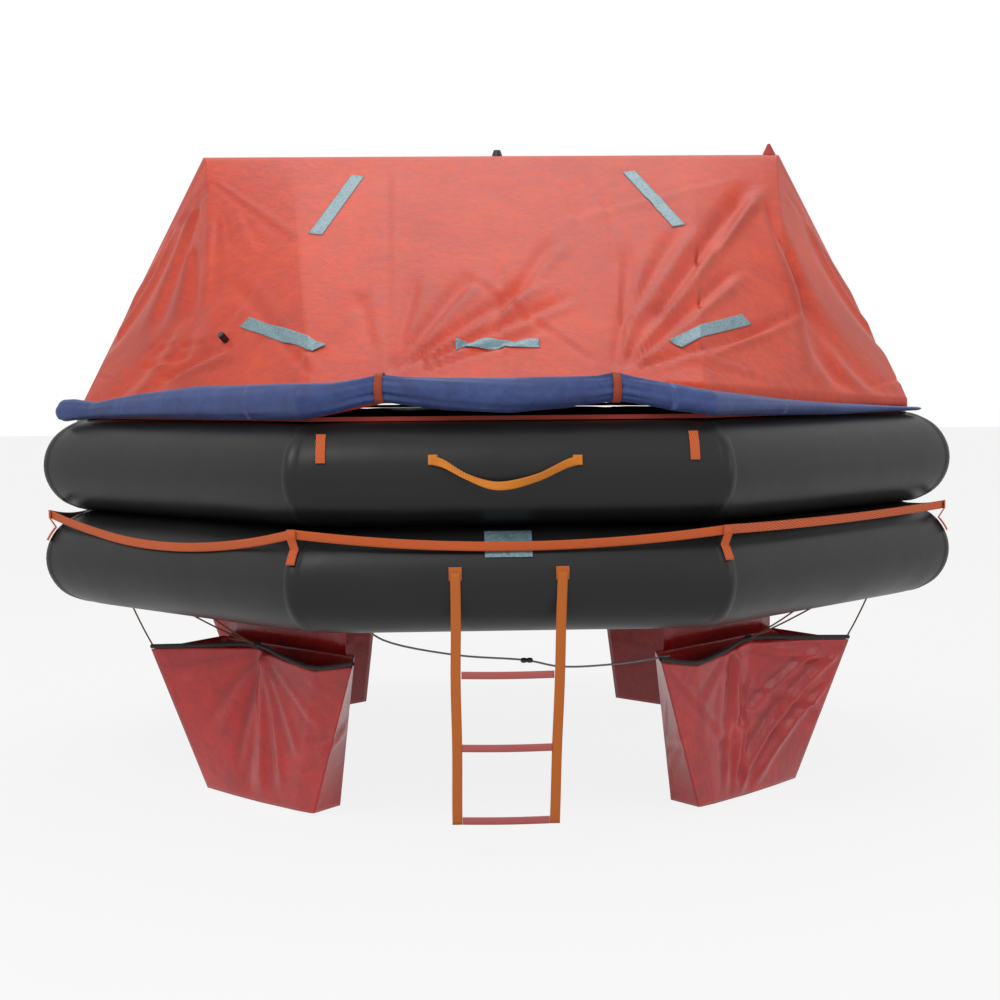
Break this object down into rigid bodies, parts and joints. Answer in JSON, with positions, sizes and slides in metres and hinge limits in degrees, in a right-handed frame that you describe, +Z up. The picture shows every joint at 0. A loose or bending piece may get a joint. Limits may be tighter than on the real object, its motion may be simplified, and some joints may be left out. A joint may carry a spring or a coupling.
{
  "type": "inflated liferaft",
  "caption": "Octagonal inflatable liferaft with stacked buoyancy tubes, an arched tent canopy, rolled curtains, boarding ladder, grab lines and ballast bags.",
  "frame": {"origin": "middle of the floor's underside, level with the lower tube's lowest line", "axes": "+Z up, -Y towards the front side with the ladder, +X to the right seen from the front"},
  "size_m": [2.9846, 3.0576, 2.1663],
  "materials": {
    "tube_fabric": "satin",
    "canopy_fabric": "satin",
    "welt_webbing": "matte",
    "curtain_fabric": "matte",
    "orange_webbing": "matte",
    "rung_webbing": "satin",
    "reflective_tape": "satin",
    "bag_fabric": "gloss",
    "hem_cord": "matte",
    "grey_cord": "matte",
    "black_plastic": "matte",
    "pale_plastic": "satin",
    "yellow_plastic": "satin",
    "bottle_steel": "satin",
    "head_brass": "satin",
    "lever_metal": "satin",
    "hose_rubber": "matte",
    "sling_webbing": "matte"
  },
  "bodies": {
    "raft": {"arch_tube": "tube_fabric", "bag_hem_front_left": "hem_cord", "bag_hem_front_right": "hem_cord", "bag_hem_rear_left": "hem_cord", "bag_hem_rear_right": "hem_cord", "ballast_bag_front_left": "bag_fabric", "ballast_bag_front_right": "bag_fabric", "ballast_bag_rear_left": "bag_fabric", "ballast_bag_rear_right": "bag_fabric", "bottle_sling_left": "sling_webbing", "bottle_sling_right": "sling_webbing", "cabin_light": "pale_plastic", "canopy": "canopy_fabric", "canopy_light": "black_plastic", "canopy_welt_front": "welt_webbing", "canopy_welt_rear": "welt_webbing", "curtain_roll_front": "curtain_fabric", "curtain_roll_rear": "curtain_fabric", "curtain_tie_front_left": "orange_webbing", "curtain_tie_front_right": "orange_webbing", "curtain_tie_rear_left": "orange_webbing", "curtain_tie_rear_right": "orange_webbing", "emergency_pack": "canopy_fabric", "floor": "tube_fabric", "gas_bottle": "bottle_steel", "gas_hose_lower": "hose_rubber", "gas_hose_upper": "hose_rubber", "grab_handle": "orange_webbing", "inlet_valve_lower": "black_plastic", "inlet_valve_upper": "black_plastic", "inner_lifeline": "orange_webbing", "ladder_anchor_left": "orange_webbing", "ladder_anchor_right": "orange_webbing", "lower_tube": "tube_fabric", "outer_lifeline": "orange_webbing", "rain_spout": "black_plastic", "relief_valve_lower": "pale_plastic", "relief_valve_upper": "pale_plastic", "shoulder_peak": "canopy_fabric", "tape_lower_left": "reflective_tape", "tape_lower_middle": "reflective_tape", "tape_lower_right": "reflective_tape", "tape_tube": "reflective_tape", "tape_upper_left": "reflective_tape", "tape_upper_right": "reflective_tape", "tie_tab_left": "orange_webbing", "tie_tab_right": "orange_webbing", "topping_valve_lower": "black_plastic", "topping_valve_upper": "black_plastic", "trip_cord": "grey_cord", "upper_tube": "tube_fabric", "valve_head": "head_brass"},
    "ladder": {"ladder_strap_left": "orange_webbing", "ladder_strap_right": "orange_webbing", "ladder_rung_1": "rung_webbing", "ladder_rung_2": "rung_webbing", "ladder_rung_3": "rung_webbing"},
    "topping_cap_lower": {"topping_cap_lower": "yellow_plastic"},
    "topping_cap_upper": {"topping_cap_upper": "yellow_plastic"},
    "firing_lever": {"firing_lever": "lever_metal"}
  },
  "joints": [
    {"name": "ladder_swing", "type": "hinge", "parent": "raft", "child": "ladder", "pos_m": [-0.0055, -1.4783, 0.187], "axis": [-1, 0, 0], "range_deg": [0, 90]},
    {"name": "topping_cap_lower_turn", "type": "hinge", "parent": "raft", "child": "topping_cap_lower", "pos_m": [-0.38, 1.1527, 0.15], "axis": [0, -1, 0], "range_deg": [0, 360]},
    {"name": "topping_cap_upper_turn", "type": "hinge", "parent": "raft", "child": "topping_cap_upper", "pos_m": [-0.3, 1.1527, 0.4503], "axis": [0, -1, 0], "range_deg": [0, 360]},
    {"name": "firing_lever_pull", "type": "hinge", "parent": "raft", "child": "firing_lever", "pos_m": [0.3443, 1.325, -0.0703], "axis": [-1, 0, 0], "range_deg": [0, 70]}
  ]
}
